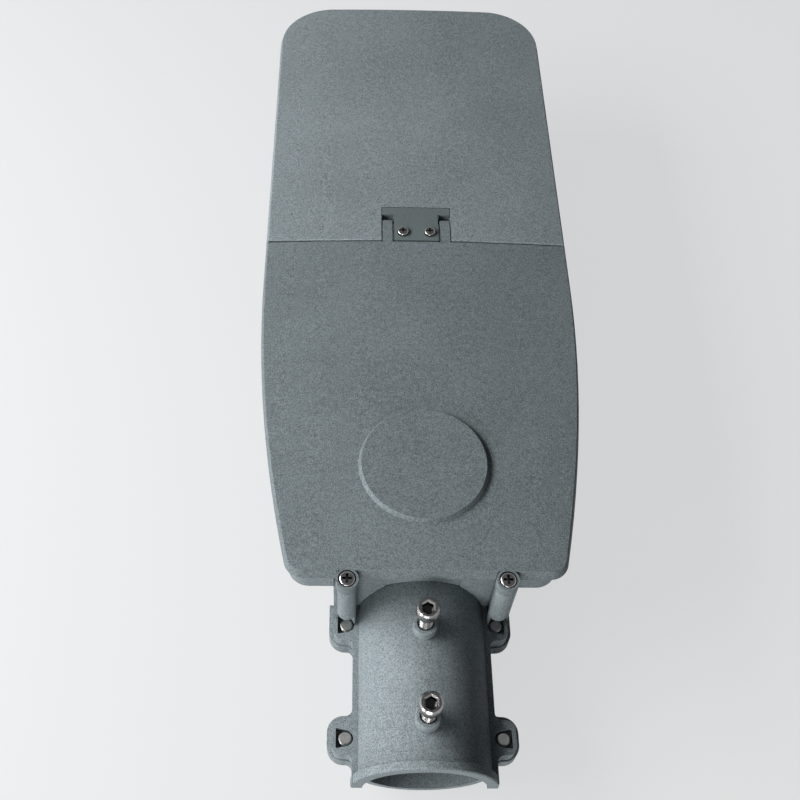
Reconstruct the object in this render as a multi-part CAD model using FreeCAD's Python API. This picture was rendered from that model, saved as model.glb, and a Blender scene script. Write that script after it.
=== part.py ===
import FreeCAD, Part
import math
import os

os.makedirs("parts", exist_ok=True)
V = FreeCAD.Vector

# Driving dimensions in millimetres.
# The origin is the centre of the pole socket's mouth, +Y runs along the head and +Z is the sky side.

# Plan and profile of the head
head_half_width = 100.7      # at the height of the crown line
head_end = 598.4             # far end of the lamp section
lid_near = 100.0             # near top edge of the lid
seam = 344.0                 # far edge of the lid
seam_gap = 1.0
top_z = 72.0                 # crown line of the lid and the lamp section
crown_radius = 1900.0        # cross fall of the top
bow_radius = 900.0           # bow of the lid's long sides
bow_centre = 308.0           # where the bow runs into the straight sides
near_corner = 9.0
far_corner = 39.0
flare = 2.4                  # how far the skirt stands out below the top edge
parting_z = 65.0             # lower face of the lid
rim_inset = 0.5              # the lower rims stand back by this much
lid_gap = 0.4                # running gap between the lid and the casting
top_edge_round = 0.7
rim_margin = 0.5             # the top's rims lie above the crown's lowest point less this

# Lid casting
lid_wall = 3.0
lid_land = 7.5               # width of the flat land that meets the tray
lid_near_land = 14.0
disc_y = 167.7
disc_radius = 37.2
disc_height = 2.5
disc_draft = 1.5
ear_x = 44.6
ear_reach = 5.3              # from the lid's near edge to the middle of the ears
ear_radius = 6.4
ear_top = 71.4
ear_bottom = 63.0
ear_recess_radius = 5.1
ear_recess = 3.3
lid_rib = 2.0                # ribs under the lid
lid_rib_x = 42.0
lid_rib_rows = (150.0, 215.0, 280.0)
lid_rib_clear = 1.0          # from the ribs up to the parting

# Lid screws, M5 with pan heads
lid_screw_radius = 2.5
lid_screw_head = 4.75
lid_screw_head_height = 2.9
lid_screw_tip = 50.0
post_hole_floor = 44.0
screw_play = 0.6             # around the lid screws, so that they swing out of the posts
lid_screw_washer = 1.0
thread_play = 0.1            # around every screw in its thread
blind_end = 0.5              # room under the tip of a screw

# Hinge
pin_y = 362.0
pin_z = 66.9
pin_radius = 1.9
pin_play = 0.12              # around the pin in its saddle
pin_running = 0.08           # around the pin in the knuckles
pin_half_length = 23.2
pin_chamfer = 0.4
cradle_half = 17.2           # half length of the pin's cradle
knuckle_radius = 4.6
tongue_inner = 16.4
tongue_outer = 23.3
tongue_under = 65.4
slot_play = 0.7
slot_depth = 5.2             # room under the pin for the knuckles
plate_thickness = 2.6
plate_half_width = 23.7
plate_stem = 15.2
plate_end = 375.5
wing_width = 6.4
plate_play = 0.35
plate_sink = 0.15
plate_screw_x = 9.2
plate_screw_y = 352.3
plate_screw_radius = 2.0
plate_screw_head = 3.9
plate_screw_head_height = 2.2
plate_screw_length = 9.0
hinge_floor_z = 57.0         # roof of the hollow under the hinge

# Tray of the casting, which holds the driver
tray_inset = 7.5             # near wall of the tray, behind the lid's near edge
tray_corner = 13.0
tray_wall_z = 30.0           # where the upright walls turn in
tray_draft = 0.6             # over the upright part of the walls
tray_far = 374.0
tray_far_low = 356.0
belly_z = 2.0
belly_inset = 17.0
belly_far = 336.0
belly_corner = 18.0
belly_round = 7.0
tray_wall = 4.6
floor_thickness = 3.5
bay_far = 337.0
rim_groove = 2.0
rim_groove_depth = 1.4
gasket_play = 0.1
gasket_proud = 0.35

# Lamp section
lamp_rim_z = 47.0
lamp_wall = 5.0
lamp_plate = 6.0
lamp_near = 390.0
lamp_ledge = 11.0
lamp_ledge_z = 57.5

# Spigot that takes the pole
bore_radius = 35.0
barrel_radius = 38.8
bore_depth = 109.0
barrel_end = 128.0
collar_radius = 41.6
collar_length = 5.5
collar_round = 1.2
half_gap = 1.0               # gap between the clamp halves
strip_half = 40.8            # half width over the strips along the parting
lug_x = 44.8
near_lug_y = 24.8
far_lug_y = 91.9
lug_out = 52.1
lug_before = 9.2             # from the bolt towards the mouth
lug_after = 10.6             # from the bolt towards the tray
lug_corner = 5.5
lug_blend = 4.0              # inside corner between a lug and the strip
lug_height = 10.5
pocket_radius = 4.7          # round side of the pocket that shows the bolt's end
pocket_reach = 5.2           # from the bolt to the pocket's straight side
pocket_flare = 5.8           # half length of that straight side
pocket_round = 0.8
pocket_depth = 3.6
pocket_clear = 14.0          # room that the pockets leave over the lugs, in the foot of each post
lower_start = 8.0            # near end of the lower half
lower_end = 108.6
lower_lug_out = 55.2
lower_lug_before = 9.8
lower_lug_after = 15.6
lower_lug_corner = 9.5
post_radius = 5.5
gusset_in = 41.0             # web between each post and the cheek behind it
gusset_out = 52.2
gusset_z = 56.0
gusset_reach = 1.5           # from the middle of the post to the web
cheek_depth = 3.3            # cheeks that carry the tray's end wall down beside the barrel
cheek_flat = 36.0
cheek_in = 22.0
cable_hole_radius = 11.0
cable_hole_z = 17.0

# Clamp bolts, M8 with hexagon heads
bolt_radius = 4.0
bolt_play = 0.5
bolt_tip = 10.0
bolt_chamfer = 0.6
bolt_head_flats = 13.0
bolt_head_height = 5.3
washer_radius = 8.0
washer_thickness = 1.6
spot_play = 0.3              # of the flat face under the washer, cut into the barrel
spot_depth = 19.0

# Set screws, M8 with socket heads
set_near_y = 27.0
set_far_y = 79.2
set_tip = 36.2
set_shank = 25.0
set_head_radius = 6.5
set_head_height = 8.0
set_head_round = 0.6
set_socket_flats = 6.0
set_socket_depth = 4.5
set_boss_radius = 7.2
set_boss_top = 46.0
set_boss_round = 0.9
set_recess_radius = 4.9
set_recess = 0.8

# Driver, surge protector and wiring in the tray
driver_x = -31.0
driver_half = 31.0
driver_near = 158.0
driver_length = 150.0
driver_height = 33.0
driver_round = 3.0
cap_length = 4.0
pad_height = 3.0
pad_radius = 6.0
driver_tab = 13.0
tab_hole = 8.5
tab_half = 10.0
driver_tab_thickness = 2.0
tray_screw_radius = 2.0
tray_screw_head = 3.8
tray_screw_head_height = 2.4
tray_screw_length = 6.5
surge_x = 37.0
surge_gap = 15.0             # between the terminal block and the surge protector's tab
surge_length = 56.0
surge_half = 20.0
surge_height = 26.0
block_x = 32.0
block_y = 200.0
block_pitch = 9.0
block_poles = 3
block_depth = 24.0
block_height = 17.0
block_screw_radius = 1.9
block_screw_play = 0.6
block_screw_depth = 4.0
block_screw_length = 3.0
block_slot = 0.6             # driver slot of the terminal screws
block_slot_depth = 0.8
block_groove = 1.2           # between the poles
block_groove_depth = 2.5
wire_hole_radius = 2.0
wire_hole_height = 6.0
block_fixing_head = 2.8
block_fixing_head_height = 1.6
clamp_y = 146.0
clamp_half = 19.0
clamp_screw_inset = 5.0
clamp_width = 10.0
clamp_rise = 7.0
clamp_thickness = 2.0
grommet_play = 0.05
grommet_bore = 5.5
grommet_end = 131.0
earth_x = 52.0
earth_y = 162.0
earth_radius = 2.5
earth_head = 5.2
earth_head_height = 3.0
short_thread = 4.5           # thread of the earth screw and the block's screw in their pads
vent_x = 60.0
vent_y = 316.0
vent_radius = 6.0
vent_head_radius = 8.5
vent_head_height = 4.0
vent_head_round = 1.2
vent_inside = 2.0            # how far the stem stands up from the floor

# Lamp parts, seen from below
board_thickness = 1.6
board_play = 1.5
chip_half = 2.5
chip_height = 0.9
lens_edge = 4.0              # least room between the domes and the frame
lens_pitch_x = 38.0
lens_pitch_y = 28.0
lens_radius = 11.0
lens_height = 4.6
lens_plate_thickness = 2.5
lens_gasket_thickness = 1.6
lens_play = 1.0
frame_thickness = 1.5
frame_width = 15.0
frame_screw_radius = 2.0
frame_screw_head = 3.8
frame_screw_head_height = 2.0
frame_screw_length = 10.0
board_screw_radius = 1.5
board_screw_head = 2.8
board_screw_head_height = 1.6
board_screw_length = 5.0
lead_hole_radius = 2.2
lead_hole_z = 60.8
lead_hole_x = -52.0
lead_seal_length = 9.0
lead_bore = 1.0

cut_over = 1.0               # how far a cut runs past the face it opens
touch = 0.01                 # places nearer than this are the same place

# Pan heads, as shares of the head's size
head_rounding = 0.55
recess_width = 1.15
recess_arm = 0.26
recess_depth = 0.6


def box(x0, x1, y0, y1, z0, z1):
    """Box between two corners."""
    return Part.makeBox(x1 - x0, y1 - y0, z1 - z0, V(x0, y0, z0))


def rod(radius, x, y, z0, z1):
    """Upright cylinder."""
    return Part.makeCylinder(radius, z1 - z0, V(x, y, z0), V(0, 0, 1))


def along(radius, x, z, y0, y1):
    """Cylinder lying along the head."""
    return Part.makeCylinder(radius, y1 - y0, V(x, y0, z), V(0, 1, 0))


def hexagon(flats, x, y, z0, z1):
    """Upright hexagonal prism."""
    reach = flats / math.sqrt(3.0)
    angles = [math.radians(60 * i + 30) for i in range(7)]
    points = [V(x + reach * math.cos(a), y + reach * math.sin(a), z0) for a in angles]
    return Part.Face(Part.makePolygon(points)).extrude(V(0, 0, z1 - z0))


def rounded(x0, x1, y0, y1, z0, z1, radius):
    """Box with its upright edges rounded."""
    block = box(x0, x1, y0, y1, z0, z1)
    upright = [e for e in block.Edges if abs(e.Vertexes[0].Z - e.Vertexes[1].Z) > touch]
    return block.makeFillet(radius, upright)


def joined(shapes):
    """One solid from shapes that overlap."""
    whole = shapes[0].multiFuse(shapes[1:]) if len(shapes) > 1 else shapes[0]
    return whole.removeSplitter()


def both_sides(shape):
    """A shape and its mirror image across the middle of the head."""
    return [shape, shape.mirror(V(0, 0, 0), V(1, 0, 0))]


def arc(centre_x, centre_y, radius, start, end, z):
    """Arc edge from one angle to another, in radians."""
    def at(angle):
        return V(centre_x + radius * math.cos(angle), centre_y + radius * math.sin(angle), z)

    return Part.Arc(at(start), at((start + end) / 2), at(end)).toShape()


def outline(z, grow, y_near, y_far, r_near, r_far):
    """Plan outline of the head between two cross lines: straight sides that bow in to the near end."""
    centre_x = head_half_width - bow_radius
    reach = bow_radius + grow
    half = head_half_width + grow
    corner_y = y_near + r_near
    corner_x = centre_x + math.sqrt((reach - r_near) ** 2 - (corner_y - bow_centre) ** 2)
    turn = math.atan2(corner_y - bow_centre, corner_x - centre_x)
    side = [
        arc(corner_x, corner_y, r_near, -math.pi / 2, turn, z),
        arc(centre_x, bow_centre, reach, turn, 0, z),
        Part.makeLine(V(half, bow_centre, z), V(half, y_far - r_far, z)),
        arc(half - r_far, y_far - r_far, r_far, 0, math.pi / 2, z),
    ]
    mirrored = [e.mirror(V(0, 0, 0), V(1, 0, 0)) for e in side]
    near = Part.makeLine(V(-corner_x, y_near, z), V(corner_x, y_near, z))
    far = Part.makeLine(V(half - r_far, y_far, z), V(r_far - half, y_far, z))
    return Part.Wire(Part.__sortEdges__([near] + side + [far] + mirrored))


def loft(wires):
    """Solid with straight walls between outlines."""
    return Part.makeLoft(wires, True, True)


def crown(drop):
    """The large cylinder under the crowned top, lowered by drop."""
    radius = crown_radius - drop
    return along(radius, 0, top_z - crown_radius, -cut_over, head_end + 4 * flare)


def crown_height(x):
    """Height of the crowned top at a distance from the middle."""
    return top_z - crown_radius + math.sqrt(crown_radius ** 2 - x ** 2)


def crown_rims(shape):
    """Edges round a crowned top."""
    lowest = crown_height(head_half_width + flare) - rim_margin
    return [e for e in shape.Edges if e.BoundBox.ZMin > lowest]


def skirt_grow(z):
    """Outward flare of the skirt at a height."""
    return flare * (top_z - z) / (top_z - parting_z)


def save(shape, name):
    """Write one node."""
    shape.exportStep("parts/" + name + ".step")


# Places and heights that follow from the driving dimensions
ear_y = lid_near - ear_reach
tray_near = lid_near + tray_inset
surge_near = block_y + block_depth / 2 + surge_gap + driver_tab
rim_z = parting_z - lid_gap
lamp_top_start = seam + seam_gap
floor_z = belly_z + floor_thickness
plate_under = top_z - plate_sink - plate_thickness
lamp_ceiling = top_z - lamp_plate
lens_top = lamp_ledge_z - lens_gasket_thickness
lens_under = lens_top - lens_plate_thickness
frame_under = lens_under - frame_thickness
over_z = top_z + 3 * flare
pad_top = floor_z + pad_height


# Lamp section above the parting, with its drafted edge and crowned top
def lamp_upper():
    wires = []
    for z in (rim_z, over_z):
        grow = skirt_grow(z)
        wires.append(outline(z, grow, near_corner, head_end + grow, near_corner, far_corner + grow))
    keep = box(-2 * head_half_width, 2 * head_half_width, lamp_top_start, 2 * head_end, rim_z, over_z)
    top = loft(wires).common(keep).common(crown(0))
    return top.makeFillet(top_edge_round, crown_rims(top))


# Slab that carries the full plan of the head below the parting
def slab():
    upper = outline(rim_z, flare - lid_gap, tray_near, head_end + flare, tray_corner, far_corner + flare)
    lower = outline(lamp_rim_z, 0.0, tray_near + rim_inset, head_end - rim_inset, tray_corner, far_corner)
    return loft([upper, lower])


# Tray walls and belly, grown or shrunk by the same amount for the outside and the inside
def tray_levels(shrink, top, low, far_top, far_low, far_belly):
    return [
        outline(top, -shrink, tray_near + shrink, far_top, tray_corner - shrink, tray_corner - shrink),
        outline(tray_wall_z, -shrink - tray_draft, tray_near + shrink + tray_draft, far_low,
                tray_corner - shrink, tray_corner - shrink),
        outline(low, -shrink - belly_inset, tray_near + shrink + belly_inset, far_belly,
                belly_corner - shrink, belly_corner - shrink),
    ]


def belly():
    solid = loft(tray_levels(0.0, lamp_rim_z, belly_z, tray_far, tray_far_low, belly_far))
    low = [e for e in solid.Edges if e.BoundBox.ZMax < belly_z + touch]
    return solid.makeFillet(belly_round, low)


def driver_bay():
    """Inside of the tray: an opening under the lid, and a wider hollow that runs on under the hinge."""
    mouth = []
    for z in (hinge_floor_z - cut_over, rim_z + cut_over):
        mouth.append(outline(z, -tray_wall, tray_near + tray_wall, bay_far, tray_corner - tray_wall,
                             tray_corner - tray_wall))
    levels = tray_levels(tray_wall, hinge_floor_z, floor_z, tray_far - tray_wall,
                         tray_far_low - tray_wall, belly_far - tray_wall)
    return loft(mouth).fuse(loft(levels))


# Upper half of the spigot with its clamp lugs
def flange(out, start_y, near_lug, far_lug, corner, z0, z1):
    """Strips beside the barrel with a lug at each bolt; the far lug runs on to the end."""
    right = [V(strip_half, start_y, z0)]
    right += [V(strip_half, near_lug[0], z0), V(out, near_lug[0], z0)]
    right += [V(out, near_lug[1], z0), V(strip_half, near_lug[1], z0)]
    right += [V(strip_half, far_lug[0], z0), V(out, far_lug[0], z0), V(out, far_lug[1], z0)]
    left = [V(-p.x, p.y, p.z) for p in reversed(right)]
    plate = Part.Face(Part.makePolygon(right + left + right[:1])).extrude(V(0, 0, z1 - z0))
    for reach, radius in ((out, corner), (strip_half, lug_blend)):
        plate = plate.makeFillet(radius, upright_edges(plate, reach, start_y, far_lug[1]))
    return plate


def upright_edges(plate, reach, y0, y1):
    """Upright edges of a plate at one distance from the middle, without those at its two ends."""
    found = []
    for e in plate.Edges:
        first, last = e.Vertexes[0].Point, e.Vertexes[-1].Point
        at_reach = abs(abs(first.x) - reach) < touch
        if abs(first.z - last.z) > touch and at_reach and y0 + touch < first.y < y1 - touch:
            found.append(e)
    return found


def half_barrel(start_y, end_y):
    """The barrel as a solid over the length of one half, both halves of its circle."""
    return along(barrel_radius, 0, 0, start_y, end_y)


def bore(length):
    """Pole bore."""
    return along(bore_radius, 0, 0, -cut_over, length)


def lug_places():
    return [(side * lug_x, y) for side in (-1, 1) for y in (near_lug_y, far_lug_y)]


def spigot():
    start = half_gap / 2
    collar = along(collar_radius, 0, 0, 0, collar_length)
    collar = collar.makeFillet(collar_round, [e for e in collar.Edges if e.BoundBox.YLength < touch])
    keep = box(-lug_out, lug_out, -cut_over, 2 * barrel_end, start, 2 * barrel_radius)
    barrel = joined([half_barrel(0, barrel_end), collar]).common(keep)
    near_lug = (near_lug_y - lug_before, near_lug_y + lug_after)
    far_lug = (far_lug_y - lug_before, tray_near)
    parts = [barrel, flange(lug_out, 0, near_lug, far_lug, lug_corner, start, lug_height)]
    for y in (set_near_y, set_far_y):
        boss = rod(set_boss_radius, 0, y, bore_radius - cut_over, set_boss_top)
        rim = [e for e in boss.Edges if e.BoundBox.ZMin > set_boss_top - touch]
        parts.append(boss.makeFillet(set_boss_round, rim))
    for x in (-ear_x, ear_x):
        parts.append(rod(post_radius, x, ear_y, start, ear_bottom - lid_gap))
    inner = tray_near + tray_wall / 2
    gusset = box(gusset_in, gusset_out, ear_y + gusset_reach, inner, start, gusset_z)
    corners = [(gusset_out, tray_near - cheek_depth), (cheek_flat, tray_near - cheek_depth),
               (cheek_in, tray_near), (cheek_in, inner), (gusset_out, inner)]
    rim = Part.makePolygon([V(x, y, start) for x, y in corners + corners[:1]])
    cheek = Part.Face(rim).extrude(V(0, 0, gusset_z - start))
    parts += both_sides(gusset) + both_sides(cheek)
    return parts


def bolt_pocket(x, y):
    """Pocket round a bolt's end: straight on the outer side, round towards the barrel."""
    side = 1 if x > 0 else -1
    low, high = lug_height - pocket_depth, lug_height + pocket_clear
    outer = side * pocket_reach
    rim = [V(x, y - pocket_radius, low), V(x + outer, y - pocket_flare, low),
           V(x + outer, y + pocket_flare, low), V(x, y + pocket_radius, low)]
    arch = Part.Arc(rim[-1], V(x - side * pocket_radius, y, low), rim[0]).toShape()
    sides = [Part.makeLine(a, b) for a, b in zip(rim, rim[1:])]
    pocket = Part.Face(Part.Wire(sides + [arch])).extrude(V(0, 0, high - low))
    turns = []
    for e in pocket.Edges:
        point = e.Vertexes[0].Point
        if e.BoundBox.ZLength > touch and abs(point.x - x) > pocket_reach - touch:
            turns.append(e)
    return pocket.makeFillet(pocket_round, turns)


def spigot_cuts():
    cuts = [bore(bore_depth)]
    for x, y in lug_places():
        cuts.append(rod(bolt_radius + thread_play, x, y, -cut_over, lug_height + cut_over))
        cuts.append(bolt_pocket(x, y))
    for y in (set_near_y, set_far_y):
        cuts.append(rod(bolt_radius + thread_play, 0, y, 0, set_boss_top + cut_over))
        cuts.append(rod(set_recess_radius, 0, y, set_boss_top - set_recess, set_boss_top + cut_over))
    for x in (-ear_x, ear_x):
        cuts.append(rod(lid_screw_radius + screw_play, x, ear_y, post_hole_floor, ear_bottom))
    cuts.append(along(cable_hole_radius, 0, cable_hole_z, bore_depth - cut_over, barrel_end + belly_inset))
    return cuts


# Recess for the hinge plate, slots for the lid's tongues and the pin's saddle
def hinge_cuts():
    over = top_z + cut_over
    near = lamp_top_start - cut_over
    stem = box(-plate_stem - plate_play, plate_stem + plate_play, near, plate_end + plate_play,
               plate_under, over)
    wings = box(-plate_half_width - plate_play, plate_half_width + plate_play,
                plate_end - wing_width - plate_play, plate_end + plate_play, plate_under, over)
    slot = box(tongue_inner - slot_play, tongue_outer + slot_play, near,
               plate_end - wing_width - plate_play, pin_z - slot_depth, over)
    saddle_half = pin_radius + pin_play
    saddle = box(-cradle_half, cradle_half, pin_y - saddle_half, pin_y + saddle_half, pin_z, over)
    cradle = Part.makeCylinder(saddle_half, 2 * cradle_half, V(-cradle_half, pin_y, pin_z), V(1, 0, 0))
    cuts = [stem, wings, saddle, cradle] + both_sides(slot)
    for x in (-plate_screw_x, plate_screw_x):
        cuts.append(rod(plate_screw_radius + thread_play, x, plate_screw_y,
                        plate_under - plate_screw_length, over))
    return cuts


def lamp_pocket(inset, z0, z1):
    """Pocket of the lamp section, open below."""
    far = head_end - lamp_wall - inset
    return loft([
        lamp_outline(z0, inset, far),
        lamp_outline(z1, inset, far),
    ])


def lamp_outline(z, inset, far):
    half = head_half_width - lamp_wall - inset
    near = lamp_near + inset
    r_far = far_corner - lamp_wall - inset
    r_near = near_corner
    corners = [
        (half - r_far, far - r_far, r_far),
        (r_far - half, far - r_far, r_far),
        (r_near - half, near + r_near, r_near),
        (half - r_near, near + r_near, r_near),
    ]
    turn = math.pi / 2
    arcs = [arc(x, y, r, k * turn, (k + 1) * turn, z) for k, (x, y, r) in enumerate(corners)]
    lines = []
    for first, second in zip(arcs, arcs[1:] + arcs[:1]):
        lines.append(Part.makeLine(first.Vertexes[-1].Point, second.Vertexes[0].Point))
    return Part.Wire(Part.__sortEdges__(arcs + lines))


def frame_screw_places():
    half = head_half_width - lamp_wall - lamp_ledge / 2
    near = lamp_near + lamp_ledge / 2
    far = head_end - lamp_wall - lamp_ledge / 2
    rows = [near + far_corner + (far - near - 2 * far_corner) * k for k in (0.0, 0.5, 1.0)]
    places = [(side * half, y) for side in (-1, 1) for y in rows]
    places += [(side * half / 2, y) for side in (-1, 1) for y in (near, far)]
    return places


def tab_places(x, near, length):
    """Screw places in the tabs at the two ends of a box in the tray."""
    return [(x, near - tab_hole), (x, near + length + tab_hole)]


def tray_screw_places():
    places = tab_places(driver_x, driver_near, driver_length)
    places += tab_places(surge_x, surge_near, surge_length)
    places += [(side * (clamp_half - clamp_screw_inset), clamp_y) for side in (-1, 1)]
    return places


# Main casting: spigot half, tray and lamp section in one piece
def main_body():
    body = joined([slab(), lamp_upper(), belly()] + spigot())
    body = body.cut(driver_bay())
    body = body.cut(lamp_pocket(0.0, lamp_rim_z - cut_over, lamp_ledge_z))
    body = body.cut(lamp_pocket(lamp_ledge, lamp_ledge_z - cut_over, lamp_ceiling))
    low = (belly_z + floor_z) / 2
    pads = [rod(pad_radius, x, y, low, pad_top) for x, y in tray_screw_places() + [(earth_x, earth_y)]]
    half = block_pitch * block_poles / 2
    pads.append(box(block_x - half, block_x + half, block_y - block_depth / 2, block_y + block_depth / 2,
                    low, pad_top))
    body = joined([body] + pads)
    cuts = spigot_cuts() + hinge_cuts()
    for x, y in tray_screw_places():
        cuts.append(rod(tray_screw_radius + thread_play, x, y,
                        pad_top + driver_tab_thickness - tray_screw_length - blind_end, pad_top + cut_over))
    cuts.append(rod(earth_radius + thread_play, earth_x, earth_y, pad_top - short_thread - blind_end,
                    pad_top + cut_over))
    cuts.append(rod(block_screw_radius + thread_play, block_x, block_y, pad_top - short_thread - blind_end,
                    pad_top + cut_over))
    for x, y in frame_screw_places():
        cuts.append(rod(frame_screw_radius + thread_play, x, y, lamp_ledge_z - cut_over,
                        frame_under + frame_screw_length + blind_end))
    for x, y in board_screw_places():
        cuts.append(rod(board_screw_radius + thread_play, x, y, lamp_ceiling - cut_over,
                        lamp_ceiling - board_thickness + board_screw_length + blind_end))
    cuts.append(rim_ring(rim_groove, rim_z - rim_groove_depth, rim_z + cut_over))
    cuts.append(along(lead_hole_radius, lead_hole_x, lead_hole_z, bay_far - cut_over,
                      lamp_near + lamp_ledge + cut_over))
    cuts.append(rod(vent_radius, vent_x, vent_y, belly_z - cut_over, floor_z + cut_over))
    for cut in cuts:
        body = body.cut(cut)
    return [body]


def rim_ring(width, z0, z1):
    """Ring along the middle of the tray's rim."""
    rings = []
    for side in (-1, 1):
        shrink = tray_wall / 2 + side * width / 2
        rings.append(outline(z0, -shrink, tray_near + shrink, bay_far + tray_wall - shrink,
                             tray_corner - shrink, tray_corner - shrink))
    outer, inner = [Part.Face(ring).extrude(V(0, 0, z1 - z0)) for ring in rings]
    return outer.cut(inner)


def lid_gasket():
    return [rim_ring(rim_groove - 2 * gasket_play, rim_z - rim_groove_depth, rim_z + gasket_proud)]


# Lid over the driver, hinged at its far edge
def driver_lid():
    wires = []
    for z in (parting_z, over_z):
        grow = skirt_grow(z)
        wires.append(outline(z, grow, lid_near - grow, head_end, near_corner + grow, far_corner))
    keep = box(-2 * head_half_width, 2 * head_half_width, 0, seam, parting_z, over_z)
    lid = loft(wires).common(keep).common(crown(0))
    lid = lid.makeFillet(top_edge_round, crown_rims(lid))
    far = seam - lid_land
    hollow = []
    for z in (parting_z - cut_over, over_z):
        hollow.append(outline(z, -lid_land, lid_near + lid_near_land, far, near_corner, near_corner))
    lid = lid.cut(loft(hollow).common(crown(lid_wall)))
    rise = disc_height + cut_over
    disc = Part.makeCone(disc_radius + disc_draft * rise / disc_height, disc_radius, rise,
                         V(0, disc_y, top_z - cut_over), V(0, 0, 1))
    brim = [e for e in disc.Edges if e.BoundBox.ZMin > top_z + disc_height - touch]
    disc = disc.makeFillet(top_edge_round, brim)
    ears = [rod(ear_radius, x, ear_y, ear_bottom, ear_top) for x in (-ear_x, ear_x)]
    tongue = box(tongue_inner, tongue_outer, seam - lid_land / 2, pin_y, tongue_under,
                 pin_z + knuckle_radius)
    knuckle = Part.makeCylinder(knuckle_radius, tongue_outer - tongue_inner,
                                V(tongue_inner, pin_y, pin_z), V(1, 0, 0))
    lid = joined([lid, disc] + ears + lid_ribs() + both_sides(tongue.fuse(knuckle)))
    for x in (-ear_x, ear_x):
        lid = lid.cut(rod(ear_recess_radius, x, ear_y, ear_top - ear_recess, over_z))
        lid = lid.cut(rod(lid_screw_radius + thread_play, x, ear_y, ear_bottom - cut_over, over_z))
    eye = Part.makeCylinder(pin_radius + pin_running, 2 * tongue_outer + 2 * cut_over,
                            V(-tongue_outer - cut_over, pin_y, pin_z), V(1, 0, 0))
    return [lid.cut(eye)]


def lid_ribs():
    """Ribs along and across the hollow of the lid, rooted in its wall."""
    near = lid_near + lid_near_land / 2
    far = seam - lid_land / 2
    low = parting_z + lid_rib_clear
    ribs = [box(x - lid_rib / 2, x + lid_rib / 2, near, far, low, top_z) for x in (-lid_rib_x, lid_rib_x)]
    for y in lid_rib_rows:
        ribs.append(box(-half_width_at(y), half_width_at(y), y - lid_rib / 2, y + lid_rib / 2, low, top_z))
    return [rib.common(crown(lid_wall / 2)) for rib in ribs]


def half_width_at(y):
    """Half width of the lid at a place along the head, less half of its land."""
    sag = bow_radius - math.sqrt(bow_radius ** 2 - (y - bow_centre) ** 2)
    return head_half_width - sag - lid_land / 2


# Fasteners
def cross_recess(x, y, top, size, depth):
    """Cross shaped driver recess in a screw head."""
    arm = size * recess_arm
    bars = []
    for half_x, half_y in ((size / 2, arm / 2), (arm / 2, size / 2)):
        bars.append(box(x - half_x, x + half_x, y - half_y, y + half_y, top - depth, top + cut_over))
    return bars[0].fuse(bars[1])


def pan_screw(radius, head, head_height, length, x, y, seat, domed=False):
    """Pan head screw, pointing down, with its head on the seat height."""
    cap = rod(head, x, y, seat, seat + head_height)
    rim = [e for e in cap.Edges if e.BoundBox.ZMin > seat + head_height - touch]
    trim = cap.makeFillet if domed else cap.makeChamfer
    cap = trim(head_height * head_rounding, rim)
    screw = cap.fuse(rod(radius, x, y, seat - length, seat))
    recess = cross_recess(x, y, seat + head_height, head * recess_width, head_height * recess_depth)
    return screw.cut(recess).removeSplitter()


def turned_over(shape, z):
    """A shape turned upside down about a height."""
    turned = shape.copy()
    turned.rotate(V(0, 0, z), V(0, 1, 0), 180)
    return turned


def ring(outer, inner, x, y, z0, z1):
    return rod(outer, x, y, z0, z1).cut(rod(inner, x, y, z0, z1))


def lid_screws():
    seat = ear_top - ear_recess + lid_screw_washer
    return [pan_screw(lid_screw_radius, lid_screw_head, lid_screw_head_height, seat - lid_screw_tip, x,
                      ear_y, seat, domed=True) for x in (-ear_x, ear_x)]


def lid_screw_washers():
    seat = ear_top - ear_recess
    return [ring(lid_screw_head, lid_screw_radius + thread_play, x, ear_y, seat, seat + lid_screw_washer)
            for x in (-ear_x, ear_x)]


def hinge_pin():
    pin = Part.makeCylinder(pin_radius, 2 * pin_half_length, V(-pin_half_length, pin_y, pin_z), V(1, 0, 0))
    ends = [e for e in pin.Edges if e.BoundBox.XLength < touch]
    return [pin.makeChamfer(pin_chamfer, ends)]


def hinge_plate():
    over = top_z + cut_over
    stem = box(-plate_stem, plate_stem, lamp_top_start, plate_end, plate_under, over)
    wings = box(-plate_half_width, plate_half_width, plate_end - wing_width, plate_end, plate_under, over)
    plate = joined([stem, wings]).common(crown(plate_sink))
    for x in (-plate_screw_x, plate_screw_x):
        plate = plate.cut(rod(plate_screw_radius + thread_play, x, plate_screw_y, plate_under - cut_over,
                              over))
    return [plate]


def hinge_plate_screws():
    seat = crown_height(plate_screw_x - plate_screw_head) - plate_sink
    return [pan_screw(plate_screw_radius, plate_screw_head, plate_screw_head_height, plate_screw_length, x,
                      plate_screw_y, seat, domed=True) for x in (-plate_screw_x, plate_screw_x)]


def lower_clamp():
    """Lower half of the pole clamp, shorter at the mouth and with larger lugs."""
    start = -half_gap / 2
    near_lug = (near_lug_y - lower_lug_before, near_lug_y + lower_lug_after)
    far_lug = (far_lug_y - lower_lug_before, lower_end)
    keep = box(-lug_out, lug_out, 0, 2 * barrel_end, -2 * barrel_radius, start)
    barrel = half_barrel(lower_start, lower_end).common(keep)
    plate = flange(lower_lug_out, lower_start, near_lug, far_lug, lower_lug_corner, -lug_height, start)
    half = joined([barrel, plate]).cut(bore(lower_end + cut_over))
    for x, y in lug_places():
        half = half.cut(rod(bolt_radius + bolt_play, x, y, -lug_height - cut_over, 0))
        half = half.cut(rod(washer_radius + spot_play, x, y, -spot_depth, -lug_height))
    return [half]


def clamp_bolts():
    seat = -lug_height - washer_thickness
    bolts = []
    for x, y in lug_places():
        head = hexagon(bolt_head_flats, x, y, seat - bolt_head_height, seat)
        shank = rod(bolt_radius, x, y, seat, bolt_tip)
        tip = [e for e in shank.Edges if e.BoundBox.ZMin > bolt_tip - touch]
        bolts.append(head.fuse(shank.makeChamfer(bolt_chamfer, tip)).removeSplitter())
    return bolts


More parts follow.
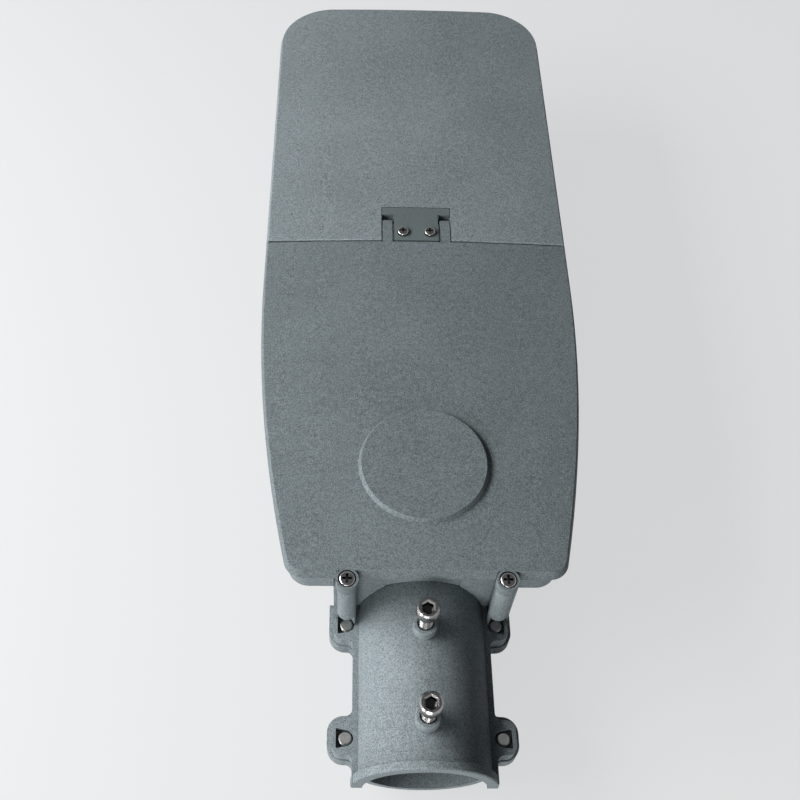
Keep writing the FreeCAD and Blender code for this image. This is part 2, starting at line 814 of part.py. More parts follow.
def clamp_washers():
    return [ring(washer_radius, bolt_radius + bolt_play, x, y, -lug_height - washer_thickness, -lug_height)
            for x, y in lug_places()]


def set_screws():
    """Socket head screws, backed off so that their tips stay clear of the bore."""
    seat = set_tip + set_shank
    top = seat + set_head_height
    screws = []
    for y in (set_near_y, set_far_y):
        head = rod(set_head_radius, 0, y, seat, top)
        rim = [e for e in head.Edges if e.BoundBox.ZMin > top - touch]
        head = head.makeFillet(set_head_round, rim)
        screw = head.fuse(rod(bolt_radius, 0, y, set_tip, seat))
        screws.append(screw.cut(hexagon(set_socket_flats, 0, y, top - set_socket_depth, top + cut_over)))
    return screws


# Parts in the tray
def tabbed_box(x, near, length, half, height, radius, lift):
    """Box with a screw tab at each end of its base plate."""
    case = rounded(x - half, x + half, near, near + length, pad_top, pad_top + height, radius)
    base = box(x - tab_half, x + tab_half, near - driver_tab, near + length + driver_tab, pad_top,
               pad_top + lift)
    whole = joined([case, base])
    for hole_x, hole_y in tab_places(x, near, length):
        whole = whole.cut(rod(tray_screw_radius + thread_play, hole_x, hole_y, pad_top - cut_over,
                              pad_top + height))
    return whole


def driver_case():
    return [tabbed_box(driver_x, driver_near, driver_length, driver_half, driver_height, driver_round,
                       driver_tab_thickness)]


def driver_end_caps():
    low = pad_top + driver_tab_thickness
    caps = []
    for y in (driver_near - cap_length, driver_near + driver_length):
        cap = rounded(driver_x - driver_half, driver_x + driver_half, y, y + cap_length, low,
                      pad_top + driver_height, cap_length / 3)
        caps.append(cap)
    return caps


def surge_protector():
    return [tabbed_box(surge_x, surge_near, surge_length, surge_half, surge_height, driver_round,
                       driver_tab_thickness)]


def tray_screws():
    seat = pad_top + driver_tab_thickness
    return [pan_screw(tray_screw_radius, tray_screw_head, tray_screw_head_height, tray_screw_length, x, y,
                      seat) for x, y in tray_screw_places()]


def block_screw_places():
    offsets = [block_pitch * (k - (block_poles - 1) / 2) for k in range(block_poles)]
    return [(block_x + dx, block_y + side * block_depth / 4) for dx in offsets for side in (-1, 1)]


def terminal_block():
    """Screw terminal block with a wire hole at both ends of each pole."""
    half = block_pitch * block_poles / 2
    top = pad_top + block_height
    near = block_y - block_depth / 2
    far = block_y + block_depth / 2
    block = box(block_x - half, block_x + half, near, far, pad_top, top)
    for x, y in block_screw_places():
        block = block.cut(rod(block_screw_radius + block_screw_play, x, y, top - block_screw_depth,
                              top + cut_over))
    for k in range(block_poles):
        x = block_x + block_pitch * (k - (block_poles - 1) / 2)
        holes = [(near - cut_over, block_y - block_depth / 4), (block_y + block_depth / 4, far + cut_over)]
        for y0, y1 in holes:
            block = block.cut(along(wire_hole_radius, x, pad_top + wire_hole_height, y0, y1))
    for k in range(1, block_poles):
        x = block_x + block_pitch * (k - block_poles / 2)
        block = block.cut(box(x - block_groove / 2, x + block_groove / 2, near - cut_over, far + cut_over,
                              top - block_groove_depth, top + cut_over))
    return [block.cut(rod(block_screw_radius + thread_play, block_x, block_y, pad_top - cut_over,
                          top + cut_over))]


def terminal_screws():
    low = pad_top + block_height - block_screw_depth
    top = low + block_screw_length
    screws = []
    for x, y in block_screw_places():
        screw = rod(block_screw_radius, x, y, low, top)
        slot = box(x - block_pitch / 2, x + block_pitch / 2, y - block_slot / 2, y + block_slot / 2,
                   top - block_slot_depth, top + cut_over)
        screws.append(screw.cut(slot))
    return screws


def block_fixing_screw():
    seat = pad_top + block_height
    length = block_height + short_thread
    return [pan_screw(block_screw_radius, block_fixing_head, block_fixing_head_height, length, block_x,
                      block_y, seat)]


def cable_clamp():
    """Bent strap over the cable, screwed down at both ends."""
    inner, outer = clamp_rise, clamp_rise + clamp_thickness
    y0 = clamp_y - clamp_width / 2
    foot = box(-clamp_half, clamp_half, y0, y0 + clamp_width, pad_top, pad_top + clamp_thickness)
    hump = along(outer, 0, pad_top, y0, y0 + clamp_width)
    hollow = along(inner, 0, pad_top, y0 - cut_over, y0 + clamp_width + cut_over)
    above = box(-clamp_half, clamp_half, y0, y0 + clamp_width, pad_top, pad_top + 2 * outer)
    strap = joined([foot, hump]).common(above).cut(hollow)
    for side in (-1, 1):
        x = side * (clamp_half - clamp_screw_inset)
        strap = strap.cut(rod(tray_screw_radius + thread_play, x, clamp_y, pad_top - cut_over,
                              pad_top + 2 * outer))
    return [strap]


def entry_grommet():
    bush = along(cable_hole_radius - grommet_play, 0, cable_hole_z, bore_depth, grommet_end)
    return [bush.cut(along(grommet_bore, 0, cable_hole_z, bore_depth - cut_over, grommet_end + cut_over))]


def lead_seal():
    tube = along(lead_hole_radius - thread_play, lead_hole_x, lead_hole_z, bay_far,
                 bay_far + lead_seal_length)
    return [tube.cut(along(lead_bore, lead_hole_x, lead_hole_z, bay_far - cut_over,
                           bay_far + lead_seal_length + cut_over))]


def earth_screw():
    return [pan_screw(earth_radius, earth_head, earth_head_height, short_thread, earth_x, earth_y,
                      pad_top)]


def breather_vent():
    """Vent plug in the tray's floor, with its cap outside."""
    stem = rod(vent_radius - thread_play, vent_x, vent_y, belly_z, floor_z + vent_inside)
    cap = rod(vent_head_radius, vent_x, vent_y, belly_z - vent_head_height, belly_z)
    rim = [e for e in cap.Edges if e.BoundBox.ZMax < belly_z - vent_head_height + touch]
    return [joined([stem, cap.makeFillet(vent_head_round, rim)])]


# Parts of the lamp, in the order in which they go in from below
def window_middle():
    return (lamp_near + head_end - lamp_wall) / 2


def lens_grid():
    """Columns and rows of lenses that the window takes."""
    window_x = 2 * (head_half_width - lamp_wall - frame_width)
    window_y = head_end - lamp_wall - lamp_near - 2 * frame_width
    room = 2 * (lens_edge + lens_radius)
    return int((window_x - room) / lens_pitch_x) + 1, int((window_y - room) / lens_pitch_y) + 1


def board_screw_places():
    columns, rows = lens_grid()
    x = lens_pitch_x * (columns - 2) / 2
    y = window_middle()
    step = lens_pitch_y * (rows - 2) / 2
    return [(sx * x, y + sy * step) for sx in (-1, 1) for sy in (-1, 0, 1)]


def lens_places():
    columns, rows = lens_grid()
    places = []
    for i in range(columns):
        for j in range(rows):
            x = lens_pitch_x * (i - (columns - 1) / 2)
            places.append((x, window_middle() + lens_pitch_y * (j - (rows - 1) / 2)))
    return places


def led_board():
    inset = lamp_ledge + board_play
    board = Part.Face(lamp_outline(lamp_ceiling - board_thickness, inset, head_end - lamp_wall - inset))
    board = board.extrude(V(0, 0, board_thickness))
    for x, y in board_screw_places():
        board = board.cut(rod(board_screw_radius + thread_play, x, y, lens_top, over_z))
    return [board]


def led_chips():
    low = lamp_ceiling - board_thickness - chip_height
    return [box(x - chip_half, x + chip_half, y - chip_half, y + chip_half, low, low + chip_height)
            for x, y in lens_places()]


def board_screws():
    seat = lamp_ceiling - board_thickness
    screws = []
    for x, y in board_screw_places():
        screw = pan_screw(board_screw_radius, board_screw_head, board_screw_head_height,
                          board_screw_length, -x, y, seat)
        screws.append(turned_over(screw, seat))
    return screws


def window_ring(outer_inset, inner_inset, z0, z1):
    """Flat ring round the lamp window with the frame's screw holes."""
    outlines = [lamp_outline(z0, inset, head_end - lamp_wall - inset) for inset in (outer_inset, inner_inset)]
    outer, inner = [Part.Face(wire).extrude(V(0, 0, z1 - z0)) for wire in outlines]
    flat = outer.cut(inner)
    for x, y in frame_screw_places():
        flat = flat.cut(rod(frame_screw_radius + thread_play, x, y, z0 - cut_over, z1 + cut_over))
    return flat


def lens_gasket():
    return [window_ring(lens_play, lamp_ledge - lens_play / 2, lens_top, lamp_ledge_z)]


def lens_plate():
    """Clear plate with a dome over each chip."""
    outer = lamp_outline(lens_under, lens_play, head_end - lamp_wall - lens_play)
    plate = Part.Face(outer).extrude(V(0, 0, lens_plate_thickness))
    ball = (lens_radius ** 2 + lens_height ** 2) / (2 * lens_height)
    domes = []
    for x, y in lens_places():
        cap = Part.makeSphere(ball, V(x, y, lens_under - lens_height + ball))
        domes.append(cap.common(box(x - ball, x + ball, y - ball, y + ball, lens_under - lens_height,
                                    lens_under + lens_plate_thickness / 2)))
    plate = joined([plate] + domes)
    for x, y in frame_screw_places():
        plate = plate.cut(rod(frame_screw_radius + thread_play, x, y, lens_under - cut_over,
                              lens_top + cut_over))
    return [plate]


def lens_frame():
    return [window_ring(lens_play, frame_width, frame_under, lens_under)]


def frame_screws():
    screws = []
    for x, y in frame_screw_places():
        screw = pan_screw(frame_screw_radius, frame_screw_head, frame_screw_head_height,
                          frame_screw_length, -x, y, frame_under)
        screws.append(turned_over(screw, frame_under))
    return screws


nodes = {
    "main_body": main_body,
    "lower_clamp": lower_clamp,
    "clamp_bolts": clamp_bolts,
    "clamp_washers": clamp_washers,
    "set_screws": set_screws,
    "driver_lid": driver_lid,
    "lid_gasket": lid_gasket,
    "lid_screws": lid_screws,
    "lid_screw_washers": lid_screw_washers,
    "hinge_pin": hinge_pin,
    "hinge_plate": hinge_plate,
    "hinge_plate_screws": hinge_plate_screws,
    "driver_case": driver_case,
    "driver_end_caps": driver_end_caps,
    "surge_protector": surge_protector,
    "tray_screws": tray_screws,
    "terminal_block": terminal_block,
    "terminal_screws": terminal_screws,
    "block_fixing_screw": block_fixing_screw,
    "cable_clamp": cable_clamp,
    "entry_grommet": entry_grommet,
    "lead_seal": lead_seal,
    "earth_screw": earth_screw,
    "breather_vent": breather_vent,
    "led_board": led_board,
    "led_chips": led_chips,
    "board_screws": board_screws,
    "lens_gasket": lens_gasket,
    "lens_plate": lens_plate,
    "lens_frame": lens_frame,
    "frame_screws": frame_screws,
}

for name, make in nodes.items():
    solids = make()
    shape = solids[0] if len(solids) == 1 else Part.makeCompound(solids)
    save(shape, name)
    print(name, shape.isValid(), len(shape.Solids), round(shape.Volume / 1000, 2), "cm3")
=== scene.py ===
import bmesh
import bpy
import math
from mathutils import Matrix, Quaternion, Vector


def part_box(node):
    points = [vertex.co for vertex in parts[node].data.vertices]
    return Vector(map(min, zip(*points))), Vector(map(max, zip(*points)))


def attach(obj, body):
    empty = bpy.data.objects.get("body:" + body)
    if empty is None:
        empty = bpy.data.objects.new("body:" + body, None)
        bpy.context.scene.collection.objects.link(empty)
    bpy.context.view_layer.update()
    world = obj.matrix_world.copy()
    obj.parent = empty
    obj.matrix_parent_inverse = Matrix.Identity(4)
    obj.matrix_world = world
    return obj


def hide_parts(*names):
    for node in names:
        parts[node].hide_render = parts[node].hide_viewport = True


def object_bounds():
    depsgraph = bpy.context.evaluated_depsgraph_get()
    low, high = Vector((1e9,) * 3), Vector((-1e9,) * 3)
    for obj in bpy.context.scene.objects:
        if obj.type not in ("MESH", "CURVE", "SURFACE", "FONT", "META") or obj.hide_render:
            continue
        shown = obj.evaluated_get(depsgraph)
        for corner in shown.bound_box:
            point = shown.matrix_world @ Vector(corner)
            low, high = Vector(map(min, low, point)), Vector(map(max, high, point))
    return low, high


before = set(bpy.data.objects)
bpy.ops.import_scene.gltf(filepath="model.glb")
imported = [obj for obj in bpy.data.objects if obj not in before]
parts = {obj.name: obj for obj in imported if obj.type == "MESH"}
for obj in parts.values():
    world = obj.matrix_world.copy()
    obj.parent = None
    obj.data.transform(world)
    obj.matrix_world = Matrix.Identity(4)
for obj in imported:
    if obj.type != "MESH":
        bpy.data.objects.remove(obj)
cad_low, cad_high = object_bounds()

# Main casting
# Pole socket half, driver tray and lamp section are one aluminium die casting under a grey powder
# coat with a fine, hard texture. The machined bore and pockets carry the same coat.


class Field:
    """A value that changes from point to point. Arithmetic on it adds Math nodes."""

    def __init__(self, paint, socket):
        self.paint = paint
        self.socket = socket

    def math(self, operation, *values):
        return self.paint.node("ShaderNodeMath", {"operation": operation}, dict(enumerate(values)))

    def __add__(self, other):
        return self.math("ADD", self, other)

    def __sub__(self, other):
        return self.math("SUBTRACT", self, other)

    def __rsub__(self, other):
        return self.math("SUBTRACT", other, self)

    def __mul__(self, other):
        return self.math("MULTIPLY", self, other)

    __radd__ = __add__
    __rmul__ = __mul__


class Paint:
    """The nodes of one material, or of the studio's world."""

    def __init__(self, owner):
        owner.use_nodes = True
        self.owner = owner
        self.tree = owner.node_tree

    def node(self, kind, settings=None, sockets=None, out=0):
        """Any node: its settings first, then the values or links of its sockets."""
        made = self.tree.nodes.new(kind)
        for key, value in (settings or {}).items():
            if key == "stops":
                self.ramp(made.color_ramp, value)
            else:
                setattr(made, key, value)
        self.feed(made, sockets or {})
        return Field(self, made.outputs[out])

    def ramp(self, ramp, stops):
        while len(ramp.elements) < len(stops):
            ramp.elements.new(1.0)
        for element, (place, colour) in zip(ramp.elements, stops):
            element.position = place
            element.color = (*colour, 1.0)

    def feed(self, made, sockets):
        for key, value in sockets.items():
            if isinstance(value, Field):
                self.tree.links.new(value.socket, made.inputs[key])
            elif isinstance(value, tuple) and len(value) == 3 and made.inputs[key].type == "RGBA":
                made.inputs[key].default_value = (*value, 1.0)
            else:
                made.inputs[key].default_value = value

    def place(self):
        return self.node("ShaderNodeTexCoord", out="Object")

    def noise(self, where, scale, detail=2.0, rough=0.5, stretch=None):
        """Noise of a given number of grains per metre, with 0.5 as its middle."""
        if stretch:
            where = self.node("ShaderNodeVectorMath", {"operation": "MULTIPLY"}, {
                0: where, 1: stretch})
        return self.node("ShaderNodeTexNoise", {}, {
            "Vector": where, "Scale": scale, "Detail": detail, "Roughness": rough})

    def openness(self, reach, samples=6):
        """1 on open faces, and less where other faces stand within reach."""
        return self.node("ShaderNodeAmbientOcclusion", {"samples": samples}, {
            "Distance": reach}, out="AO")

    def blend(self, share, first, second):
        return self.node("ShaderNodeMix", {"data_type": "RGBA", "clamp_factor": True}, {
            0: share, 6: first, 7: second}, out=2)

    def bump(self, height, depth):
        """Normal from a height field whose value 1 stands depth metres high."""
        return self.node("ShaderNodeBump", {}, {"Height": height, "Distance": depth})

    def surface(self, **sockets):
        shader = self.tree.nodes["Principled BSDF"]
        self.feed(shader, {key.replace("_", " "): value for key, value in sockets.items()})
        return self.owner


def shaded(colour, share):
    return tuple(share * c for c in colour)


def finish(material, *names):
    """Gives CAD nodes their finish."""
    for name in names:
        for slot in parts[name].material_slots:
            slot.material = material


# The fine grain and the peel are measured against the coat's main grain, the slow drift in grains
# per metre. Shares act on its shade, heights on its relief.
fine_ratio = 2.3
peel_ratio = 0.3
drift_grain = 14.0
speck_share = 2.0
speck_peaks = 28.0
fine_share = 2.2
peel_share = 0.6
drift_share = 0.45
fine_height = 0.4
peel_height = 0.6
speck_rough = 0.3
coat_specular = 0.07
# Painted shade in narrow gaps and seams: a face left less open than the start by faces within the
# reach turns towards this near black.
painted_gap_shade_reach = 0.0012
painted_gap_shade_start = 0.62
painted_gap_shade_share = 5.0
painted_gap_shade_colour = (0.012, 0.015, 0.016)


def powder_coat(name, colour, contrast, grain, grain_depth, rough):
    """Baked powder: tiny domes that catch the light, a slow drift in tone, and painted shade in narrow
    gaps.
    """
    paint = Paint(bpy.data.materials.new(name))
    where = paint.place()
    speck = paint.noise(where, grain, rough=0.6)
    fine = paint.noise(where, grain * fine_ratio, detail=1.0)
    peel = paint.noise(where, grain * peel_ratio)
    drift = paint.noise(where, drift_grain)
    pit = speck - 0.5
    shade = (
        pit * speck_share + pit * pit * pit * speck_peaks + (fine - 0.5) * fine_share
        + (peel - 0.5) * peel_share + (drift - 0.5) * drift_share + 0.5)
    coat = paint.blend(shade, shaded(colour, 1.0 - contrast), shaded(colour, 1.0 + contrast))
    # Painted shade: seams and narrow gaps go near black by occlusion, standing in for the shade that
    # falls in them.
    painted_gap_shade = (painted_gap_shade_start - paint.openness(painted_gap_shade_reach)) * painted_gap_shade_share
    return paint.surface(
        Base_Color=paint.blend(painted_gap_shade, coat, painted_gap_shade_colour),
        Roughness=pit * speck_rough + rough,
        Specular_IOR_Level=coat_specular,
        Normal=paint.bump(speck + fine * fine_height + peel * peel_height, grain_depth))


body_colour = (0.187, 0.217, 0.229)
coat_look = {"contrast": 0.42, "grain": 1150.0, "grain_depth": 0.00012, "rough": 0.56}
body_coat = powder_coat("body_coat", body_colour, **coat_look)
finish(body_coat, "main_body")

# Lower clamp half
# The other half of the pole socket, cast and coated like the body. Four bolts pull it up against
# the pole.
finish(body_coat, "lower_clamp")

# Clamp bolts and washers
# M8 hexagon bolts in stainless steel, put in from below through the lower lugs, with a rolled
# thread. Their chamfered ends show in the square pockets of the upper lugs.
mark_grain = 2600.0
mark_stretch = (1.0, 1.0, 6.0)
mark_rough = 0.2
dull_grain = 260.0
dull_contrast = 3.0
dull_shade = 0.6
dull_rough = 0.3
# Painted shade in recesses: within the reach, the less open a face is, the nearer its colour goes to
# this share of the metal's colour.
painted_recess_reach = 0.0080
painted_recess_darkness = 0.12
painted_recess_full = 1.6


def stainless(name, colour, rough, mark_depth, painted_recess_share=painted_recess_full):
    """Turned metal with faint tool marks, finger-dull patches, and painted shade that darkens its
    recesses.
    """
    paint = Paint(bpy.data.materials.new(name))
    where = paint.place()
    marks = paint.noise(where, mark_grain, rough=0.6, stretch=mark_stretch)
    dull = paint.noise(where, dull_grain, detail=3.0)
    metal = paint.blend((dull - 0.5) * dull_contrast + 0.5, colour, shaded(colour, dull_shade))
    # Painted shade: the metal darkens where other faces close in, as under heads and in sockets,
    # standing in for the shade there.
    painted_recess_shade = (1.0 - paint.openness(painted_recess_reach)) * painted_recess_share
    return paint.surface(
        Base_Color=paint.blend(painted_recess_shade, metal, shaded(colour, painted_recess_darkness)),
        Metallic=1.0,
        Roughness=(dull - 0.5) * dull_rough + (marks - 0.5) * mark_rough + rough,
        Normal=paint.bump(marks, mark_depth))


turn_steps = 60
turn_angles = [2.0 * math.pi * k / turn_steps for k in range(turn_steps)]
sharp_edge = 32.0


def round_ring(radius, groove=0.0):
    """Radius at each angle. With a groove depth it is knurled."""
    return [radius - groove * (k % 2) for k in range(turn_steps)]


def hexagon_ring(flats, largest=1.0):
    """Radius of a hexagon at each angle, its corners turned off at the largest radius."""
    side = math.pi / 3.0
    off_flat = [(angle + side / 2.0) % side - side / 2.0 for angle in turn_angles]
    return [min(flats / 2.0 / math.cos(angle), largest) for angle in off_flat]


thread_pitch = 0.00125
thread_depth = 0.00077
rows_in_pitch = 4


def thread_rings(radius, low, high, taper_low, taper_high):
    """Rings of a right-hand metric thread, turned down below and above the two taper heights."""
    count = round((high - low) / thread_pitch * rows_in_pitch)
    rings = []
    for k in range(count + 1):
        height = low + (high - low) * k / count
        most = radius - max(0.0, taper_low - height, height - taper_high)
        turns = [height / thread_pitch - angle / (2.0 * math.pi) for angle in turn_angles]
        wave = [abs(2.0 * (turn % 1.0) - 1.0) for turn in turns]
        rings.append((height, [min(most, radius - thread_depth * w) for w in wave]))
    return rings


def turned(name, node, places, rings, steel):
    """Steel fasteners at some places, from rings of height and radii. They stand for a CAD node."""
    shape = bmesh.new()
    for x, y in places:
        loops = [[shape.verts.new((x + r * math.cos(a), y + r * math.sin(a), height))
                  for r, a in zip(radii, turn_angles)] for height, radii in rings]
        for first, second in zip(loops, loops[1:]):
            for k in range(turn_steps):
                after = (k + 1) % turn_steps
                shape.faces.new((first[k], first[after], second[after], second[k]))
        shape.faces.new(list(reversed(loops[0])))
        shape.faces.new(loops[-1])
    mesh = bpy.data.meshes.new(name)
    shape.to_mesh(mesh)
    shape.free()
    mesh.shade_smooth()
    mesh.set_sharp_from_angle(angle=math.radians(sharp_edge))
    mesh.materials.append(steel)
    piece = bpy.data.objects.new(name, mesh)
    bpy.context.scene.collection.objects.link(piece)
    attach(piece, "housing")
    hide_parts(node)


screw_radius = 0.0040
screw_chamfer = 0.0009
bolt_flats = 0.0130
bolt_corner = bolt_flats / math.sqrt(3.0)
bolt_head = 0.0053
bolt_face = 0.0061
bolt_bevel = 0.0008
bolt_low, bolt_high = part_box("clamp_bolts")
lug_x = bolt_high.x - bolt_flats / 2.0
lug_ys = (bolt_low.y + bolt_corner, bolt_high.y - bolt_corner)
lug_places = [(side * lug_x, y) for side in (-1, 1) for y in lug_ys]
bolt_seat = bolt_low.z + bolt_head
bolt_rings = [
    (bolt_low.z, hexagon_ring(bolt_flats, bolt_face)),
    (bolt_low.z + bolt_bevel / 2.0, hexagon_ring(bolt_flats, (bolt_face + bolt_corner) / 2.0)),
    (bolt_low.z + bolt_bevel, hexagon_ring(bolt_flats)),
    (bolt_seat, hexagon_ring(bolt_flats)),
] + thread_rings(screw_radius, bolt_seat, bolt_high.z, bolt_low.z, bolt_high.z - screw_chamfer)
bolt_colour = (0.66, 0.65, 0.63)
# The bolts get less of the painted shade in their recesses.
bolt_painted_recess = 0.3
bolt_steel = stainless(
    "bolt_steel", bolt_colour, rough=0.42, mark_depth=0.00004, painted_recess_share=bolt_painted_recess)
turned("threaded_clamp_bolts", "clamp_bolts", lug_places, bolt_rings, bolt_steel)
finish(bolt_steel, "clamp_washers")

# Set screws
# Two M8 socket head screws that lock the pole, backed off, with knurled heads. Their threads show
# between the head and the boss.
set_head_radius = 0.0065
set_head_height = 0.0080
set_rim = 0.0006
set_bevel = 0.0010
knurl_depth = 0.00014
knurl_stop = 2.6 * set_rim
knurl_fade = 0.2 * set_rim
socket_flats = 0.0060
socket_bevel = 0.0009
socket_depth = 0.0045
socket_tip = socket_flats / 4.0
set_low, set_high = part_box("set_screws")
set_seat = set_high.z - set_head_height
set_smooth = set_head_radius - knurl_depth
set_places = [(0.0, set_low.y + set_head_radius), (0.0, set_high.y - set_head_radius)]
set_rings = thread_rings(
    screw_radius, set_low.z, set_seat, set_low.z + screw_chamfer, set_high.z,
) + [
    (set_seat, round_ring(set_head_radius - set_rim)),
    (set_seat + set_rim, round_ring(set_head_radius, knurl_depth)),
    (set_high.z - knurl_stop, round_ring(set_head_radius, knurl_depth)),
    (set_high.z - knurl_stop + knurl_fade, round_ring(set_smooth)),
    (set_high.z - set_bevel, round_ring(set_smooth)),
    (set_high.z, round_ring(set_smooth - set_bevel)),
    (set_high.z, hexagon_ring(socket_flats + 2.0 * socket_bevel)),
    (set_high.z - socket_bevel, hexagon_ring(socket_flats)),
    (set_high.z - socket_depth, hexagon_ring(socket_flats)),
    (set_high.z - socket_depth - socket_bevel, round_ring(socket_tip)),
]
steel_colour = (0.40, 0.39, 0.38)
bright_steel = stainless("bright_steel", steel_colour, rough=0.24, mark_depth=0.00002)
turned("threaded_set_screws", "set_screws", set_places, set_rings, bright_steel)

# Driver, its end caps and the surge protector
# The driver is a drawn aluminium case with plastic ends, potted inside. The surge protector is a
# small moulded box beside it. Both are screwed to pads in the tray.
mould_drift = 40.0
mould_dark = 0.85
mould_light = 1.12
mould_rough = 0.15


def moulded(name, colour, rough, grain=1800.0, depth=0.00003):
    """Moulded plastic or rubber with a spark-eroded texture."""
    paint = Paint(bpy.data.materials.new(name))
    where = paint.place()
    speck = paint.noise(where, grain)
    drift = paint.noise(where, mould_drift)
    return paint.surface(
        Base_Color=paint.blend(drift, shaded(colour, mould_dark), shaded(colour, mould_light)),
        Roughness=(speck - 0.5) * mould_rough + rough,
        Normal=paint.bump(speck, depth))


case_colour = (0.58, 0.59, 0.60)
cap_colour = (0.022, 0.022, 0.024)
protector_colour = (0.30, 0.32, 0.34)
case_metal = stainless("drawn_aluminium", case_colour, rough=0.42, mark_depth=0.00001)
black_moulding = moulded("black_moulding", cap_colour, rough=0.5)
grey_moulding = moulded("grey_moulding", protector_colour, rough=0.45)
finish(case_metal, "driver_case")
finish(black_moulding, "driver_end_caps")
finish(grey_moulding, "surge_protector")

# Terminal block, earth screw, cable clamp and tray screws
# The supply cable ends here: an ivory block with plated screws, a brass earth screw in the casting,
# and a zinc plated strap that grips the cable's sheath.
block_colour = (0.70, 0.66, 0.53)
brass_colour = (0.68, 0.50, 0.22)
zinc_colour = (0.55, 0.56, 0.55)
ivory_moulding = moulded("ivory_moulding", block_colour, rough=0.4)
brass = stainless("turned_brass", brass_colour, rough=0.28, mark_depth=0.00001)
zinc_plate = stainless("zinc_plate", zinc_colour, rough=0.38, mark_depth=0.00001)
finish(ivory_moulding, "terminal_block")
finish(brass, "earth_screw")
finish(zinc_plate, "cable_clamp", "terminal_screws", "block_fixing_screw", "tray_screws")

# Seals and vent
# Soft black rubber: the grommet of the cable's entry, the seal of the lamp's leads, and the gaskets
# of the tray's rim and of the lens plate. The breather vent is a hard black moulding in the tray's
# floor.
rubber_colour = (0.018, 0.018, 0.019)
black_rubber = moulded("black_rubber", rubber_colour, rough=0.7, grain=900.0, depth=0.00005)
finish(black_rubber, "entry_grommet", "lead_seal", "lid_gasket", "lens_gasket")
finish(black_moulding, "breather_vent")

# Driver lid with its screws
# A flat casting with a raised round pad and two screw ears, coated like the body but a little darker.
# Its screws stay in the ears on thin washers when the lid is swung up.
lid_colour = (0.140, 0.164, 0.173)
lid_coat = powder_coat("lid_coat", lid_colour, **coat_look)
finish(lid_coat, "driver_lid")
finish(bright_steel, "lid_screws", "lid_screw_washers")

# Hinge
# The lid's two tongues turn on a plain pin, held down by a T-shaped steel plate. The plate has a
# smoother and slightly darker coat than the castings.
plate_colour = (0.115, 0.138, 0.141)
plate_coat = powder_coat(
    "plate_coat", plate_colour, contrast=0.15, grain=1500.0, grain_depth=0.00004, rough=0.45)
finish(plate_coat, "hinge_plate")
finish(bright_steel, "hinge_pin", "hinge_plate_screws")

# Lamp board and chips
# White solder mask on an aluminium board, with yellow phosphor under each lens.
board_colour = (0.80, 0.80, 0.78)
phosphor_colour = (0.85, 0.62, 0.10)
board_paint = moulded("white_solder_mask", board_colour, rough=0.35, grain=600.0, depth=0.00001)
phosphor = moulded("yellow_phosphor", phosphor_colour, rough=0.3, grain=900.0, depth=0.00001)
finish(board_paint, "led_board")
finish(phosphor, "led_chips")
finish(zinc_plate, "board_screws")

# Lens plate
# Clear moulded polycarbonate, with a dome over each chip.
lens_tint = (0.93, 0.95, 0.96)
lens_rough = 0.03
lens_ior = 1.58
lens_clearness = 0.9
flow_grain = 60.0
flow_shade = 0.94
flow_rough = 0.04


def clear_plastic(name, tint, rough):
    """Clear plastic with faint flow lines from its mould."""
    paint = Paint(bpy.data.materials.new(name))
    flow = paint.noise(paint.place(), flow_grain)
    return paint.surface(
        Base_Color=paint.blend(flow, tint, shaded(tint, flow_shade)),
        Roughness=flow * flow_rough + rough,
        IOR=lens_ior,
        Transmission_Weight=lens_clearness)


clear_lens = clear_plastic("clear_lens", lens_tint, lens_rough)
finish(clear_lens, "lens_plate")

# Lens frame
# A coated steel frame clamps the lens plate and its gasket against the casting, with a row of
# stainless pan head screws.
finish(plate_coat, "lens_frame")
finish(bright_steel, "frame_screws")

# Studio floor
# A pale sheet under the head. The camera sees its pale glow with the head's shadow on it, while
# spread light meets a darker floor, so that the shaded flank stays dark.


def seen_straight(paint):
    """1 for what the camera sees, straight, in a gloss or through glass, and 0 for spread light."""
    rays = ("Is Camera Ray", "Is Glossy Ray", "Is Transmission Ray")
    straight, gloss, through = (paint.node("ShaderNodeLightPath", out=ray) for ray in rays)
    return straight.math("MAXIMUM", straight.math("MAXIMUM", straight, gloss), through)


floor_gap = 0.0005
floor_level = cad_low.z - floor_gap
floor_middle = 0.3
floor_half = 6.0
floor_mesh = bpy.data.meshes.new("floor")
floor_shape = bmesh.new()
bmesh.ops.create_grid(floor_shape, x_segments=2, y_segments=2, size=floor_half)
floor_shape.to_mesh(floor_mesh)
floor_shape.free()
floor = bpy.data.objects.new("floor", floor_mesh)
floor.location = (0.0, floor_middle, floor_level)
bpy.context.scene.collection.objects.link(floor)
floor_glow = (0.62, 0.625, 0.63)
floor_lit = (0.12, 0.121, 0.122)
floor_spread = (0.26, 0.26, 0.26)
no_glow = (0.0, 0.0, 0.0)
floor_grain = 3.0
floor_stain = 0.98
floor_paint = Paint(bpy.data.materials.new("studio_floor"))
floor_drift = floor_paint.noise(floor_paint.place(), floor_grain)
floor_seen = seen_straight(floor_paint)
floor_sheet = floor_paint.blend(floor_drift, floor_lit, shaded(floor_lit, floor_stain))
floor_mesh.materials.append(floor_paint.surface(
    Base_Color=floor_paint.blend(floor_seen, floor_spread, floor_sheet),
    Emission_Color=floor_paint.blend(floor_seen, no_glow, floor_glow),
    Emission_Strength=1.0,
    Roughness=0.8))

# Light
# A long soft lamp stands beside the head, at its left, a weaker one before the pole end and a small
# one between them. The studio's walls are pale, its ceiling is dark, and little light comes from them.
head_middle = Vector((0.0, 0.26, 0.05))


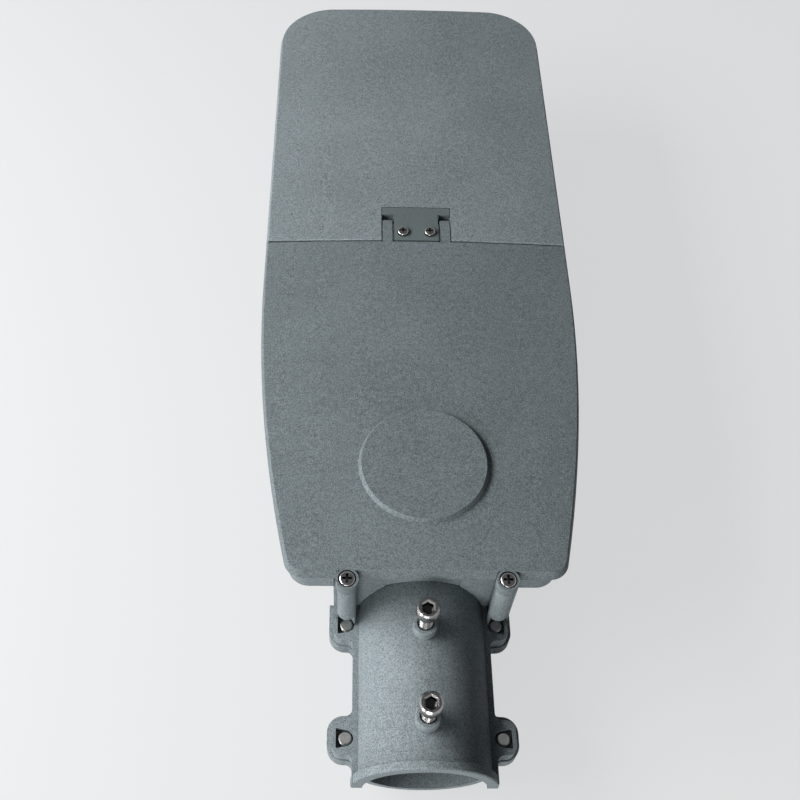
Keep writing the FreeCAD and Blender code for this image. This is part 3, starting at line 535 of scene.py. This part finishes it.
def soft_lamp(name, azimuth, elevation, distance, size, power):
    """Area lamp that faces the head; azimuth 0 stands at the pole end."""
    turn = math.radians(azimuth)
    lift = math.radians(elevation)
    flat = math.cos(lift)
    way = Vector((math.sin(turn) * flat, -math.cos(turn) * flat, math.sin(lift)))
    lamp = bpy.data.lights.new(name, "AREA")
    lamp.shape = "RECTANGLE"
    lamp.size, lamp.size_y = size
    lamp.energy = power
    holder = bpy.data.objects.new(name, lamp)
    holder.location = head_middle + way * distance
    holder.rotation_mode = "QUATERNION"
    holder.rotation_quaternion = (-way).to_track_quat("-Z", "Y")
    bpy.context.scene.collection.objects.link(holder)


soft_lamp("side_lamp", azimuth=-90.0, elevation=35.0, distance=1.1, size=(1.1, 0.4), power=21.3)
soft_lamp("front_lamp", azimuth=-12.0, elevation=9.0, distance=1.3, size=(0.6, 0.3), power=9.0)
soft_lamp("corner_lamp", azimuth=-50.0, elevation=18.0, distance=1.5, size=(0.25, 0.25), power=3.4)

wall_colour = (0.80, 0.83, 0.86)
ceiling_colour = (0.20, 0.20, 0.21)
fill_colour = (0.060, 0.062, 0.063)
wall_top = 0.40
ceiling_edge = 0.68
sky = Paint(bpy.data.worlds.new("studio"))
bpy.context.scene.world = sky.owner
sky_way = sky.node("ShaderNodeTexCoord", out="Generated")
sky_height = sky.node("ShaderNodeSeparateXYZ", {}, {0: sky_way}, out="Z")
sky_room = sky.node("ShaderNodeValToRGB", {
    "stops": [(wall_top, wall_colour), (ceiling_edge, ceiling_colour)]}, {0: sky_height})
sky_light = sky.blend(seen_straight(sky), fill_colour, sky_room)
sky.feed(sky.tree.nodes["Background"], {"Color": sky_light})

# Camera
# It looks down on the pole end from the photograph's place, on the frame's 800 by 800 pixels. Its
# axis meets the picture a little to the left of the middle and below it.
picture_side = 800.0
axis_across = 369.0
axis_down = 410.0
focal_pixels = 1027.1
sensor = 36.0
camera_place = Vector((-0.0432, -0.1382, 0.5955))
camera_target = Vector((-0.0323, 0.2133, 0.0600))
camera_roll = 2.15
camera_data = bpy.data.cameras.new("camera")
camera_data.sensor_width = sensor
camera_data.lens = focal_pixels / picture_side * sensor
camera_data.shift_x = (picture_side / 2.0 - axis_across) / picture_side
camera_data.shift_y = (axis_down - picture_side / 2.0) / picture_side
camera = bpy.data.objects.new("camera", camera_data)
camera.location = camera_place
camera.rotation_mode = "QUATERNION"
aim = (camera_target - camera_place).to_track_quat("-Z", "Y")
camera.rotation_quaternion = aim @ Quaternion((0.0, 0.0, 1.0), math.radians(camera_roll))
bpy.context.scene.collection.objects.link(camera)
bpy.context.scene.camera = camera
bpy.context.scene.view_settings.view_transform = "Standard"
